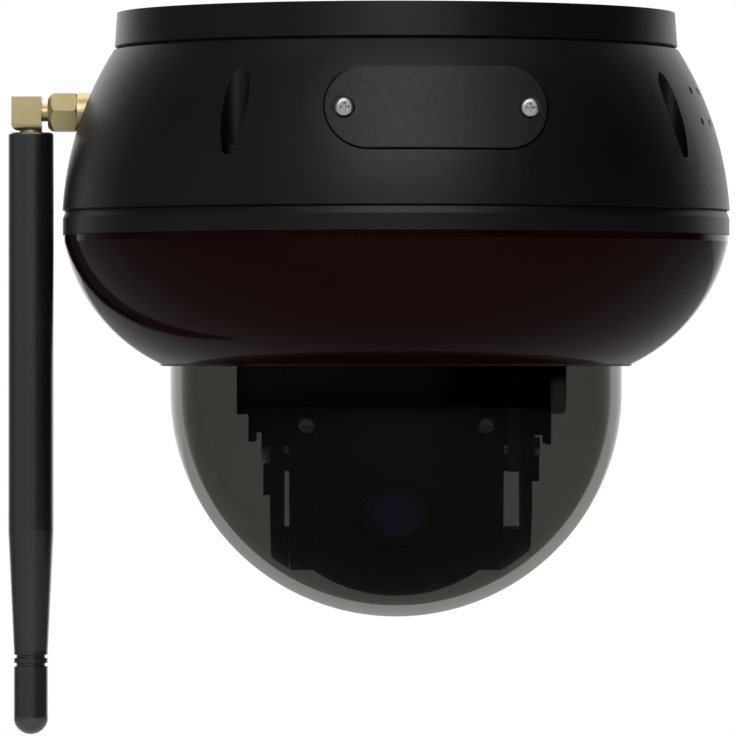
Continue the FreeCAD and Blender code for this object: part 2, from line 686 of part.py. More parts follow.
def chassis_plate():
    plate = rod(CHASSIS_R, CHASSIS_Z)
    plate = plate.cut(rod(BEARING_R[0], THROUGH))
    motor_at = at(PAN_MOTOR_AZIMUTH, PAN_CENTRES, 0)
    plate = plate.cut(rod(PAN_SHAFT_HOLE_R, THROUGH, (motor_at.x, motor_at.y)))
    for azimuth in CHASSIS_AZIMUTHS:
        plate = plate.cut(turned(rod(CHASSIS_SCREW[1] + 0.1, THROUGH, (0, -CHASSIS_SCREW_R)), azimuth))
    vent = tube(VENT_R[1], VENT_R[0], THROUGH).common(block((-9, 9), (THROUGH[0], 0), THROUGH))
    for azimuth in VENT_AZIMUTHS:
        plate = plate.cut(turned(vent, azimuth))
    return plate


def standoffs():
    board = rod(POST_R, (CHASSIS_Z[1], BOARD_Z[0]), (0, -BOARD_POST_R))
    lamp = rod(POST_R, (LED_BOARD_Z[1], CHASSIS_Z[0]), (0, -LED_POST_R))
    board = board.cut(rod(PILOT_R, (BOARD_Z[0] - 5, BOARD_Z[0]), (0, -BOARD_POST_R)))
    lamp = lamp.cut(rod(PILOT_R, (LED_BOARD_Z[1], LED_BOARD_Z[1] + 4), (0, -LED_POST_R)))
    return Part.makeCompound([turned(board, a) for a in BOARD_AZIMUTHS]
                             + [turned(lamp, a) for a in LED_POST_AZIMUTHS])


def inner_screws():
    """The small screws that hold the chassis, the main board, the dome's ring and the lamp board."""
    chassis = pan_screw(*CHASSIS_SCREW, CHASSIS_Z[1], 3.6, CHASSIS_SCREW_R)
    board = pan_screw(*BOARD_SCREW, BOARD_Z[1], 5.0, BOARD_POST_R)
    ring = pan_screw(*RING_SCREW, RING_TOP_Z, 4.4, RING_SCREW_R)
    lamp = pan_screw(*LAMP_SCREW, -LED_BOARD_Z[0], 4.0, LED_POST_R).mirror(ORIGIN, Z_AXIS)
    return Part.makeCompound([turned(chassis, a) for a in CHASSIS_AZIMUTHS]
                             + [turned(board, a) for a in BOARD_AZIMUTHS]
                             + [turned(ring, a) for a in even(6)]
                             + [turned(lamp, a) for a in LED_POST_AZIMUTHS])


def main_board():
    board = rod(BOARD_R, BOARD_Z)
    for azimuth in BOARD_AZIMUTHS:
        board = board.cut(turned(rod(BOARD_SCREW[1] + 0.1, THROUGH, (0, -BOARD_POST_R)), azimuth))
    front = turned(block(THROUGH, (THROUGH[0], BOARD_FRONT_Y), THROUGH), BAY_AZIMUTH)
    return board.cut(front)


def heatsink():
    base_z = (BOARD_Z[1], BOARD_Z[1] + HEATSINK_BASE_T)
    fin_z = (BOARD_Z[1] + 1, BOARD_Z[1] + HEATSINK_H)
    fins_at = range(-27, -2, FIN_PITCH)
    fins = [block((x - FIN_HALF_T, x + FIN_HALF_T), HEATSINK_Y, fin_z) for x in fins_at]
    return joined([block(HEATSINK_X, HEATSINK_Y, base_z)] + fins)


def speaker():
    """An oval loudspeaker behind the holes in the right-hand side."""
    frame = stadium(SPEAKER_HALF, SPEAKER_Y, SPEAKER_Z)
    cone = stadium(SPEAKER_CONE_HALF, (THROUGH[0], SPEAKER_CONE_Y), SPEAKER_Z)
    magnet = rod_y(SPEAKER_MAGNET_R, (SPEAKER_Y[1] - OVERLAP, SPEAKER_MAGNET_Y), 0, SPEAKER_Z)
    return turned(joined([frame.cut(cone), magnet]), 90)


def bay_tray():
    floor_y = (BAY_FLOOR_Y, BAY_FLOOR_Y + BAY_FLOOR_T)
    tray = stadium((BAY_HALF[0] + 2.2, BAY_HALF[1] + 2.2), (BAY_BLOCK_Y, floor_y[1]))
    tray = tray.cut(stadium(BAY_HALF, (BAY_BLOCK_Y - 1, floor_y[0])))
    tray = tray.cut(block((-13.2, 1.2), (-56, -50), (BOARD_Z[1] - 0.1, BOARD_Z[1] + 2.1)))
    tray = tray.cut(rod_y(2.0, (-56, -50), BUTTON_X, BAY_Z))
    return turned(tray, BAY_AZIMUTH)


def card_socket():
    body = block(SOCKET_X, SOCKET_Y, (BOARD_Z[1], BOARD_Z[1] + SOCKET_H))
    slot = block(CARD_X, (THROUGH[0], SOCKET_Y[1] - 1), (BOARD_Z[1] + CARD_Z[0], BOARD_Z[1] + CARD_Z[1]))
    return turned(body.cut(slot), BAY_AZIMUTH)


def reset_switch():
    body = block((BUTTON_X - 3, BUTTON_X + 3), SWITCH_Y, (BOARD_Z[1], BOARD_Z[1] + SWITCH_H))
    well = rod_y(BUTTON_STEM_R + 0.1, (THROUGH[0], SWITCH_Y[0] + 1.6), BUTTON_X, BAY_Z)
    return turned(body.cut(well), BAY_AZIMUTH)


def reset_button():
    cap = rod_y(BUTTON_R, (BUTTON_FACE_Y, BAY_FLOOR_Y + BAY_FLOOR_T + 0.2), BUTTON_X, BAY_Z)
    flange = rod_y(BUTTON_FLANGE_R, BUTTON_FLANGE_Y, BUTTON_X, BAY_Z)
    stem = rod_y(BUTTON_STEM_R, (BUTTON_FLANGE_Y[1] - 0.1, BUTTON_STEM_END_Y), BUTTON_X, BAY_Z)
    return turned(joined([cap, flange, stem]), BAY_AZIMUTH)


def cover_plate():
    plate = stadium(COVER_HALF, (-80, -50)).common(cover_cone(0)).cut(cover_cone(COVER_T))
    face = [e for e in plate.Edges if e.BoundBox.YMin < -55 and on_cone(e)]
    plate = plate.makeFillet(COVER_FILLET, face)
    seats = [seat.cut(cover_cone(COVER_T)) for seat in at_cover_screws(rod(COVER_BOSS_R, (-4, 0)))]
    plate = joined([plate] + seats)
    for cut in at_cover_screws(rod(COVER_CLEAR_R, (-5, 5))) + at_cover_screws(rod(COVER_WELL_R, (0, 5))):
        plate = plate.cut(cut)
    return turned(plate, BAY_AZIMUTH)


def on_cone(edge):
    """Whether an edge's middle lies on the cover's outer face."""
    middle = edge.valueAt((edge.FirstParameter + edge.LastParameter) / 2)
    surface_r = COVER_R + COVER_SLOPE * (BAY_Z - middle.z)
    return abs(math.hypot(middle.x, middle.y) - surface_r) < 1e-3


def cover_gasket():
    return turned(gasket_ring(), BAY_AZIMUTH)


def cover_screws():
    return turned(Part.makeCompound(at_cover_screws(pan_screw(*COVER_SCREW, 0, 4.4, 0))), BAY_AZIMUTH)


# ---------------------------------------------------------------- infrared lamps

def ir_led_board():
    board = tube(LED_BOARD_R[1], LED_BOARD_R[0], LED_BOARD_Z)
    for azimuth in LED_POST_AZIMUTHS:
        board = board.cut(turned(rod(LAMP_SCREW[1] + 0.1, THROUGH, (0, -LED_POST_R)), azimuth))
    return board


def ir_leds():
    centre = (0, -LED_RING_R)
    top = LED_BOARD_Z[0]
    flange = rod(2.9, (top - 1, top), centre)
    body = rod(LED_R, (top - 5.2, top - 0.5), centre)
    tip = ball(LED_R, Vec(centre[0], centre[1], top - 5.2))
    return ring_of(joined([flange, body, tip]), even(LED_COUNT, 15))


# ---------------------------------------------------------------- pan drive

def pan_hub():
    """The hollow post that the head turns on. Its bore carries the head's wires."""
    flange = rod(HUB_FLANGE_R, (CHASSIS_Z[1], CHASSIS_Z[1] + 1.5))
    post = rod(BEARING_R[0], (HUB_END_Z, CHASSIS_Z[1] + 1))
    shoulder = rod(HUB_SHOULDER_R, (BEARING_Z[1], CHASSIS_Z[0]))
    return joined([flange, post, shoulder]).cut(rod(HUB_BORE_R, THROUGH))


def hub_nut():
    return tube(HUB_NUT_R, BEARING_R[0], (HUB_END_Z + 0.3, BEARING_Z[0]))


def bearing_groove():
    middle = (BEARING_Z[0] + BEARING_Z[1]) / 2
    return Part.makeTorus(BEARING_R[2], BALL_R + 0.03, Vec(0, 0, middle), Z_AXIS)


def bearing_inner_race():
    return tube(BEARING_R[1] + RACE_LIP, BEARING_R[0], BEARING_Z).cut(bearing_groove())


def bearing_outer_race():
    return tube(BEARING_R[4], BEARING_R[3] - RACE_LIP, BEARING_Z).cut(bearing_groove())


def bearing_balls():
    middle = (BEARING_Z[0] + BEARING_Z[1]) / 2
    return ring_of(ball(BALL_R, Vec(0, -BEARING_R[2], middle)), even(16))


def pan_turntable():
    boss = rod(PAN_GEAR_BORE_R, (TURNTABLE_Z[1] - OVERLAP, PAN_GEAR_Z[1]))
    disc = rod(TURNTABLE_R, TURNTABLE_Z)
    table = joined([boss, disc])
    table = table.cut(rod(BEARING_R[4], (BEARING_Z[0], THROUGH[1])))
    table = table.cut(rod(WIRE_HOLE_R, THROUGH))
    for azimuth in even(4, 45):
        table = table.cut(turned(rod(YOKE_SCREW[1], THROUGH, (0, -YOKE_SCREW_RING_R)), azimuth))
    return table


def pan_gear():
    width = PAN_GEAR_Z[1] - PAN_GEAR_Z[0]
    gear = gear_blank(PAN_MODULE, PAN_TEETH, width).cut(rod(PAN_GEAR_BORE_R, THROUGH))
    toward_pinion = PAN_MOTOR_AZIMUTH - 90
    return gear.rotated(ORIGIN, Z_AXIS, toward_pinion).translated(Vec(0, 0, PAN_GEAR_Z[0]))


def pan_pinion():
    width = PAN_GEAR_Z[1] - PAN_GEAR_Z[0] - 0.3
    half_pitch = 180.0 / PAN_PINION_TEETH
    toward_gear = PAN_MOTOR_AZIMUTH + 90
    pinion = gear_blank(PAN_MODULE, PAN_PINION_TEETH, width).rotated(ORIGIN, Z_AXIS, toward_gear + half_pitch)
    pinion = pinion.translated(Vec(0, 0, PAN_GEAR_Z[0] + 0.3))
    shaft = rod(PAN_SHAFT_R, (PAN_GEAR_Z[0] + 1, CHASSIS_Z[1] + 6))
    return joined([pinion, shaft]).translated(at(PAN_MOTOR_AZIMUTH, PAN_CENTRES, 0))


def pan_motor():
    can = rod(PAN_MOTOR_R, (CHASSIS_Z[1], CHASSIS_Z[1] + PAN_MOTOR_H))
    can = can.makeFillet(1.0, [e for e in can.Edges if e.BoundBox.ZMin > CHASSIS_Z[1] + PAN_MOTOR_H - 1])
    ears = stadium(PAN_MOTOR_EAR, (0, 1.0), 0).rotated(ORIGIN, X_AXIS, 90).translated(Vec(0, 0, CHASSIS_Z[1]))
    for side in (-1, 1):
        ears = ears.cut(rod(1.6, THROUGH, (side * PAN_MOTOR_EAR_X, 0)))
    motor = joined([can, ears]).cut(rod(PAN_SHAFT_R + FIT, (THROUGH[0], CHASSIS_Z[1] + 7)))
    return turned(motor, PAN_MOTOR_AZIMUTH).translated(at(PAN_MOTOR_AZIMUTH, PAN_CENTRES, 0))


# ---------------------------------------------------------------- yoke and tilt drive

def slab_y(outline, y):
    """Extrudes an outline of (x, z) points along Y."""
    points = [Vec(x, y[0], z) for x, z in outline]
    return Part.Face(Part.makePolygon(points + points[:1])).extrude(Vec(0, y[1] - y[0], 0))


def yoke_arm(x):
    """One side plate, round at the bottom about the tilt axis."""
    upper = block(x, (-22, 22), (TILT_Z, YOKE_TOP_Z[1] - 1))
    return joined([upper, rod_x(ARM_R, x, TILT_Z)])


def yoke_lip(x):
    """The raised rim inside an arm's lower end, which closes the gap beside the drum there."""
    ring = rod_x(ARM_R, x, TILT_Z).cut(rod_x(YOKE_LIP_R, x, TILT_Z))
    return ring.common(block(THROUGH, THROUGH, (THROUGH[0], TILT_Z - YOKE_LIP_DROP)))


def yoke_ribs():
    """Stiffening ribs outside the arms: stepped outlines, in pairs front and back."""
    return [slab_y(outline, y) for outline in (LEFT_RIB, RIGHT_RIB, LEFT_TAB) for y in RIB_Y]


def yoke_frame():
    top = rod(TURNTABLE_R, YOKE_TOP_Z)
    rear_z = (REAR_PLATE_BOTTOM_Z, YOKE_TOP_Z[1] - 1)
    window_x = (-REAR_WINDOW_HALF_X, REAR_WINDOW_HALF_X)
    rear = block((LEFT_ARM_X[0], RIGHT_ARM_X[1]), REAR_PLATE_Y, rear_z)
    rear = rear.cut(block(window_x, THROUGH, (THROUGH[0], REAR_WINDOW_TOP_Z)))
    rear_ties = [block(x, (20, REAR_PLATE_Y[1]), rear_z) for x in (LEFT_ARM_X, RIGHT_ARM_X)]
    left_lip = yoke_lip((LEFT_ARM_X[1] - 1, -DRUM_HALF_X - 0.3))
    right_lip = yoke_lip((DRUM_HALF_X + 0.3, RIGHT_ARM_X[0] + 1))
    lips = [left_lip, right_lip]
    arms = [yoke_arm(LEFT_ARM_X), yoke_arm(RIGHT_ARM_X)]
    frame = joined([top, rear] + rear_ties + lips + arms + yoke_ribs())
    limit = joined([ball(YOKE_LIMIT_R, Vec(0, 0, DOME_Z)), rod(YOKE_LIMIT_R, (DOME_Z, -50))])
    frame = frame.common(limit)
    frame = frame.cut(rod_x(BUSH_R, THROUGH, TILT_Z))
    frame = frame.cut(rod_x(2.4, (20, 40), TILT_Z + TILT_CENTRES))
    frame = frame.cut(rod(WIRE_HOLE_R, (-70, -50)))
    for azimuth in even(4, 45):
        frame = frame.cut(turned(rod(YOKE_SCREW[1] + 0.2, (-70, -50), (0, -YOKE_SCREW_RING_R)), azimuth))
    return frame


def yoke_screws():
    screw = pan_screw(*YOKE_SCREW, -YOKE_TOP_Z[0], 5.5, YOKE_SCREW_RING_R).mirror(ORIGIN, Z_AXIS)
    return ring_of(screw, even(4, 45))


def tilt_bushes():
    """Flanged bushes in the arms, each with a running fit on its shaft."""
    left_flange = rod_x(BUSH_FLANGE_R, (LEFT_ARM_X[0] - 1, LEFT_ARM_X[0]), TILT_Z)
    right_flange = rod_x(BUSH_FLANGE_R, (RIGHT_ARM_X[1], RIGHT_ARM_X[1] + 1), TILT_Z)
    left = joined([rod_x(BUSH_R, LEFT_ARM_X, TILT_Z), left_flange])
    right = joined([rod_x(BUSH_R, RIGHT_ARM_X, TILT_Z), right_flange])
    bore = rod_x(SHAFT_R + FIT, THROUGH, TILT_Z)
    return Part.makeCompound([left.cut(bore), right.cut(bore)])


def tilt_motor():
    x = (RIGHT_ARM_X[1], TILT_MOTOR_END_X)
    z = TILT_Z + TILT_CENTRES
    can = rod_x(TILT_MOTOR_R, x, z)
    can = can.makeFillet(1.2, [e for e in can.Edges if e.BoundBox.XMin > x[1] - 0.1])
    return can.cut(rod_x(TILT_MOTOR_SHAFT_R + FIT, (THROUGH[0], x[0] + 5), z))


def tilt_pinion():
    half_pitch = 180.0 / TILT_PINION_TEETH
    width = TILT_GEAR_X[1] - TILT_GEAR_X[0]
    gear = gear_blank(TILT_MODULE, TILT_PINION_TEETH, width, TILT_BACKLASH)
    gear = gear.rotated(ORIGIN, Z_AXIS, half_pitch).rotated(ORIGIN, Y_AXIS, 90)
    shaft = rod_x(TILT_MOTOR_SHAFT_R, (TILT_GEAR_X[0] + 0.5, RIGHT_ARM_X[1] + 4.5), 0)
    gear = gear.translated(Vec(TILT_GEAR_X[0], 0, 0))
    return joined([gear, shaft]).translated(Vec(0, 0, TILT_Z + TILT_CENTRES))


def tilt_gear():
    """A sector gear on the right-hand shaft, in mesh with the pinion above it over the whole travel."""
    width = TILT_GEAR_X[1] - TILT_GEAR_X[0]
    gear = gear_blank(TILT_MODULE, TILT_TEETH, width, TILT_BACKLASH).rotated(ORIGIN, Z_AXIS, 180)
    wedge = Part.makeCylinder(20, width, ORIGIN, Z_AXIS, TILT_TRAVEL + 2 * SECTOR_MARGIN)
    sector = gear.common(wedge.rotated(ORIGIN, Z_AXIS, 180 - TILT_DOWN - SECTOR_MARGIN))
    hub = Part.makeCylinder(BUSH_FLANGE_R, width)
    gear = joined([sector, hub]).cut(Part.makeCylinder(SHAFT_R, width))
    return gear.rotated(ORIGIN, Y_AXIS, 90).translated(Vec(TILT_GEAR_X[0], 0, TILT_Z))


def tilt_shafts():
    left = rod_x(SHAFT_R, (LEFT_ARM_X[0] - 2.2, -DRUM_HALF_X + 3.5), TILT_Z)
    right = rod_x(SHAFT_R, (DRUM_HALF_X - 3.5, RIGHT_ARM_X[1] + 2.2), TILT_Z)
    return Part.makeCompound([left, right])


# ---------------------------------------------------------------- camera head, built with its lens level

def head_section(inset, banded):
    """Half the head's section through the tilt axis: a drum, and in front a proud band of a ball."""
    x = DRUM_HALF_X - inset
    radius = DRUM_R - inset
    if not banded:
        edges = [line_rz((-x, radius), (x, radius))]
    else:
        band_x = BALL_HALF_X - inset
        band_r = math.sqrt((BALL_HEAD_R - inset) ** 2 - band_x ** 2)
        edges = [line_rz((-x, radius), (-band_x, radius)), line_rz((-band_x, radius), (-band_x, band_r)),
                 arc_rz((-band_x, band_r), (band_x, band_r), (0, 0), BALL_HEAD_R - inset),
                 line_rz((band_x, band_r), (band_x, radius)), line_rz((band_x, radius), (x, radius))]
    left_end = line_rz((-x, 0), (-x, radius))
    right_end = line_rz((x, radius), (x, 0))
    axis = line_rz((x, 0), (-x, 0))
    return Part.Face(Part.Wire([left_end] + edges + [right_end, axis]))


def head_half(inset, front):
    """The front or rear half of the head as a solid, shrunk by inset."""
    half = head_section(inset, front).revolve(ORIGIN, X_AXIS, 180 if front else -180)
    return half.translated(Vec(0, 0, TILT_Z))


def head_shell(front):
    shell = head_half(0.0, front).cut(head_half(HEAD_WALL, front))
    y = (-40, 0) if front else (0, 40)
    seats = [rod_x(4.6, (side * (DRUM_HALF_X - 2.5) - 1.5, side * (DRUM_HALF_X - 2.5) + 1.5), TILT_Z)
             for side in (-1, 1)]
    seats = [seat.common(block((-40, 40), y, (TILT_Z - 40, TILT_Z + 40))) for seat in seats]
    boss_y = (-26, 0) if front else (0, 12)
    screw_z = TILT_Z + SHELL_SCREW_AT[1]
    bosses = [rod_y(SHELL_BOSS_R, boss_y, side * SHELL_SCREW_AT[0], screw_z).common(head_half(0.0, front))
              for side in (-1, 1)]
    shell = joined([shell] + seats + bosses)
    for side in (-1, 1):
        shell = shell.cut(rod_y(SHELL_SCREW[1], (THROUGH[0], 10), side * SHELL_SCREW_AT[0], screw_z))
        if front:
            well_y = (THROUGH[0], SHELL_SCREW_SEAT_Y)
            shell = shell.cut(rod_y(SHELL_SCREW[0] + 0.3, well_y, side * SHELL_SCREW_AT[0], screw_z))
    return shell.cut(rod_x(SHAFT_R, THROUGH, TILT_Z))


def camera_front_shell():
    shell = head_shell(True)
    mouth = Part.makeCone(MOUTH_R[0], MOUTH_R[1], MOUTH_DEPTH, Vec(0, MOUTH_Y, TILT_Z), Vec(0, -1, 0))
    shell = shell.cut(mouth).cut(rod_y(BARREL_R, THROUGH_FRONT, 0, TILT_Z))
    return tilted(shell)


def camera_rear_shell():
    shell = head_shell(False)
    return tilted(shell.cut(stadium((7, 3), (20, 40), TILT_Z - 12)))


def shell_screws():
    screw = pan_screw(*SHELL_SCREW, 0, 24.0, 0).rotated(ORIGIN, X_AXIS, 90)
    height = TILT_Z + SHELL_SCREW_AT[1]
    pair = [screw.translated(Vec(side * SHELL_SCREW_AT[0], SHELL_SCREW_SEAT_Y, height)) for side in (-1, 1)]
    return tilted(Part.makeCompound(pair))


def lens_barrel():
    barrel = rod_y(BARREL_R, BARREL_Y, 0, TILT_Z).cut(rod_y(BARREL_BORE_R, THROUGH, 0, TILT_Z))
    shelf_y = (LENS_BACK_Y, LENS_BACK_Y + BARREL_STOP_T)
    rear_y = (BARREL_Y[1] - 2, BARREL_Y[1])
    shelf = rod_y(BARREL_R, shelf_y, 0, TILT_Z).cut(rod_y(LENS_STOP_R, THROUGH, 0, TILT_Z))
    rear = rod_y(BARREL_R, rear_y, 0, TILT_Z).cut(rod_y(REAR_STOP_R, THROUGH, 0, TILT_Z))
    return tilted(joined([barrel, shelf, rear]))


def front_lens():
    """A meniscus lens, domed outwards, seated on the barrel's shelf."""
    body = rod_y(BARREL_BORE_R, (LENS_FRONT_Y, LENS_BACK_Y), 0, TILT_Z)
    domed = ball(LENS_FACE_R, Vec(0, LENS_FRONT_Y + LENS_FACE_R, TILT_Z))
    hollow = ball(LENS_HOLLOW_R, Vec(0, LENS_FRONT_Y + LENS_CENTRE_T + LENS_HOLLOW_R, TILT_Z))
    return tilted(body.common(domed).cut(hollow))


def head_block(half, y):
    """A block centred on the lens's axis, of given half width and half height."""
    return block((-half[0], half[0]), y, (TILT_Z - half[1], TILT_Z + half[1]))


def ir_cut_frame():
    frame = head_block(FILTER_FRAME_HALF, FILTER_FRAME_Y)
    frame = frame.cut(rod_y(3.4, THROUGH, 0, TILT_Z))
    return tilted(frame.cut(head_block(FILTER_CHANNEL_HALF, FILTER_CHANNEL_Y)))


def ir_cut_filter():
    """The sliding carriage with the day filter and the clear pane, shown with the day filter in place."""
    carriage = block((-9.3, 3.3), (-10.5, -9.5), (TILT_Z - 4.3, TILT_Z + 4.3))
    return tilted(carriage)


def image_sensor():
    return tilted(head_block((4.2, 3.4), (SENSOR_FACE_Y, SENSOR_BOARD_Y[0])))


def sensor_board():
    board = head_block((13, 13), SENSOR_BOARD_Y)
    header = block((-6, 6), (SENSOR_BOARD_Y[1], SENSOR_BOARD_Y[1] + 2.4), (TILT_Z - 11, TILT_Z - 7))
    legs_y = (FILTER_FRAME_Y[1], SENSOR_BOARD_Y[0])
    legs = [block((x - 1, x + 1), legs_y, (TILT_Z - 7.5, TILT_Z + 7.5)) for x in (-10, 10)]
    return tilted(joined([board, header] + legs))


# ---------------------------------------------------------------- antenna

def along_x(shape, x):
    """Lays a shape built along +Z from the origin along -X, starting at x."""
    return shape.rotated(ORIGIN, Y_AXIS, -90).translated(Vec(x, 0, ANTENNA_Z))


def sma_bulkhead():
    flange = rod_x(SMA_FLANGE_R, (SMA_FLANGE_X, SMA_FACE_X), ANTENNA_Z)
    barrel = rod_x(SMA_BARREL_R, (SMA_BARREL_X, -57.0), ANTENNA_Z)
    socket = rod_x(2.2, (SMA_BARREL_X - 1, SMA_BARREL_X + 2.5), ANTENNA_Z)
    pin_hole = rod_x(0.65, (SMA_BARREL_X - 1, SMA_BARREL_X + 4.5), ANTENNA_Z)
    return joined([flange, barrel]).cut(joined([socket, pin_hole]))


def sma_lock_nut():
    nut = along_x(hexagon(NUT_FLATS, 2.2), -60.2)
    return nut.cut(rod_x(SMA_BARREL_R, THROUGH_FRONT, ANTENNA_Z))


def sma_coupling_nut():
    length = NUT_X[1] - NUT_X[0]
    corner = NUT_FLATS / math.sqrt(3)
    nut = hexagon(NUT_FLATS, length).rotated(ORIGIN, Z_AXIS, NUT_TURN)
    inner_bevel = Part.makeCone(corner - NUT_BEVEL, corner + length - NUT_BEVEL, length)
    outer_bevel = Part.makeCone(corner + 0.88 * length - 1.2, corner - 1.2, length)
    nut = along_x(nut.common(inner_bevel).common(outer_bevel), NUT_X[1])
    nut = nut.cut(rod_x(SMA_BARREL_R + FIT, (NUT_X[0] + 0.8, NUT_X[1] + 1), ANTENNA_Z))
    return nut.cut(rod_x(NECK_R + FIT, (NUT_X[0] - 1, NUT_X[1]), ANTENNA_Z))


def antenna_elbow():
    body = block(ELBOW_X, (-ELBOW_HALF_Y, ELBOW_HALF_Y), ELBOW_Z)
    body = body.makeFillet(ELBOW_FILLET, [e for e in body.Edges if abs(e.BoundBox.ZMax - ELBOW_Z[0]) < 1e-6])
    neck = rod_x(NECK_R, (ELBOW_X[1] - 1, NUT_X[0] + 1.0), ANTENNA_Z)
    collar = rod_x(3.0, (NUT_X[0] + 0.85, SMA_BARREL_X - 0.1), ANTENNA_Z)
    pin = rod_x(0.5, (SMA_BARREL_X - 1, SMA_BARREL_X + 3.5), ANTENNA_Z)
    spigot = rod(SPIGOT_R, (SPIGOT_BOTTOM_Z, ELBOW_Z[0] + 1), (SLEEVE_X, 0))
    return joined([body, neck, collar, pin, spigot])


def antenna_sleeve():
    grooves = []
    groove_r = TIP_R - TIP_GROOVE_DEPTH
    for z in TIP_GROOVES_Z:
        grooves += [(TIP_R, z), (groove_r, z - 0.2), (groove_r, z - 0.6), (TIP_R, z - 0.8)]
    sleeve = lathe([(0, SLEEVE_TOP_Z), (SLEEVE_R - 0.4, SLEEVE_TOP_Z), (SLEEVE_R, SLEEVE_TOP_Z - 0.4),
                    (SLEEVE_R, TAPER_Z[0]), (TIP_R, TAPER_Z[1])] + grooves
                   + [(TIP_R, TIP_Z + TIP_R), arc_to((0, TIP_Z), (0, TIP_Z + TIP_R), TIP_R)])
    sleeve = sleeve.cut(rod(SPIGOT_R, (SPIGOT_BOTTOM_Z, 0)))
    return sleeve.translated(Vec(SLEEVE_X, 0, 0))


PARTS = [
    mount_base, hang_studs, lock_screw, base_gasket, cable_gland, upper_housing, housing_screws, housing_seal,
    trim_ring, ir_window, dome_gasket, dome_bubble, dome_retaining_ring, light_shroud, chassis_plate,
    standoffs, inner_screws, main_board, heatsink, speaker, bay_tray, card_socket, reset_switch, reset_button,
    cover_plate, cover_gasket, cover_screws, ir_led_board, ir_leds, pan_hub, hub_nut, bearing_inner_race,
    bearing_outer_race, bearing_balls, pan_turntable, pan_gear, pan_pinion, pan_motor, yoke_frame,
    yoke_screws, tilt_bushes, tilt_motor, tilt_pinion, tilt_gear, tilt_shafts, camera_front_shell,
    camera_rear_shell, shell_screws, lens_barrel, front_lens, ir_cut_frame, ir_cut_filter, image_sensor,
    sensor_board, sma_bulkhead, sma_lock_nut, sma_coupling_nut, antenna_elbow, antenna_sleeve,
]

os.makedirs("parts", exist_ok=True)
for make in PARTS:
    make().exportStep("parts/" + make.__name__ + ".step")
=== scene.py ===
import json
import math

import bpy
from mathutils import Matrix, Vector

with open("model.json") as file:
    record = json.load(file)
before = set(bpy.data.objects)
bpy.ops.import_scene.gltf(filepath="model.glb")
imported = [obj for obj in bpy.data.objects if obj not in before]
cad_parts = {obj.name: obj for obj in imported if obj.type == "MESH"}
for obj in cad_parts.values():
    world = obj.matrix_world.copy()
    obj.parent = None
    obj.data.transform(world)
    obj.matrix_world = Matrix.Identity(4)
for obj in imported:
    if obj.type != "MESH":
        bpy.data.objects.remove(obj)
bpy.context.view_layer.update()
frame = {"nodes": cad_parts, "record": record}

# The viewpoint, in metres, in the frame of the CAD model.
VIEW_SIDE = -0.0061  # this far towards the antenna
VIEW_DISTANCE = 1.661
VIEW_HEIGHT = -0.0771
LENS_MM = 373.2
SENSOR_MM = 36.0
LEVEL_DEGREES = 90.0  # a camera object looks straight down until it is turned up this far

FLOOR_DROP = 0.42  # from the ceiling face down to the floor
FLOOR_RADIUS = 2.6
FLOOR_SIDES = 96
FLOOR_FINISH = dict(
    dark=(0.74, 0.74, 0.73), light=(0.78, 0.78, 0.77),
    rough=(0.6, 0.7), grain=60.0, bump=0.0)

# Square lamps: where each stands, its side, its power and the point that it faces.
LAMPS = {
    "key": dict(place=(0.05, -1.45, 0.95), size=1.2, power=14.0, target=(0.0, 0.0, -0.05)),
    "floor_wash": dict(place=(0.0, 0.4, 1.4), size=1.6, power=12.0, target=(0.0, 0.0, -FLOOR_DROP)),
}

# Brightness of the room by bearing in degrees: 0 is in front of the security camera, where the
# viewpoint stands, and + is to the right as seen from there.
ROOM = (
    (-180.0, 2.1), (-156.0, 2.1), (-132.0, 0.25), (-108.0, 0.10), (-70.0, 0.33), (-25.0, 0.30),
    (12.0, 0.26), (36.0, 0.01), (126.0, 0.01), (146.0, 1.30), (180.0, 2.1),
)

# Share of that brightness by the direction's rise: -1 is straight down, 1 straight up.
ROOM_HEIGHT = ((-1.0, 0.0), (-0.2, 0.1), (0.0, 1.0), (0.40, 0.90), (0.75, 0.15), (1.0, 0.10))

# Noise scales, per metre.
FINE_GRAIN = 2600.0  # powder coat
MOULD_GRAIN = 1800.0
RUBBER_GRAIN = 1200.0
BRUSH_GRAIN = 900.0
SOFT_CLOUD = 28.0  # slow changes of tone

GRAIN_DETAIL = 4.0
CLOUD_DETAIL = 3.0
NOISE_MIDDLE = (0.3, 0.7)  # the part of the noise that carries most of its values
TONE_STOPS = (0.35, 0.65)
BUMP_DISTANCE = 0.00003
SHARP_DEGREES = 30.0  # edges that turn more than this stay crisp

# Clear walls: the share mirrored straight on, and how late it grows towards the edge.
CLEAR_ROUGH = (0.02, 0.05)
CLEAR_MIRROR = 0.008
CLEAR_EDGE_POWER = 9.6

# What one face of each clear wall lets through, by material slot of the record.
CLEAR = {
    "dome_smoke": (0.452, 0.448, 0.436, 1.0),
    "led_clear": (0.80, 0.80, 0.88, 1.0),
    "filter_glass": (0.55, 0.30, 0.36, 1.0),
}

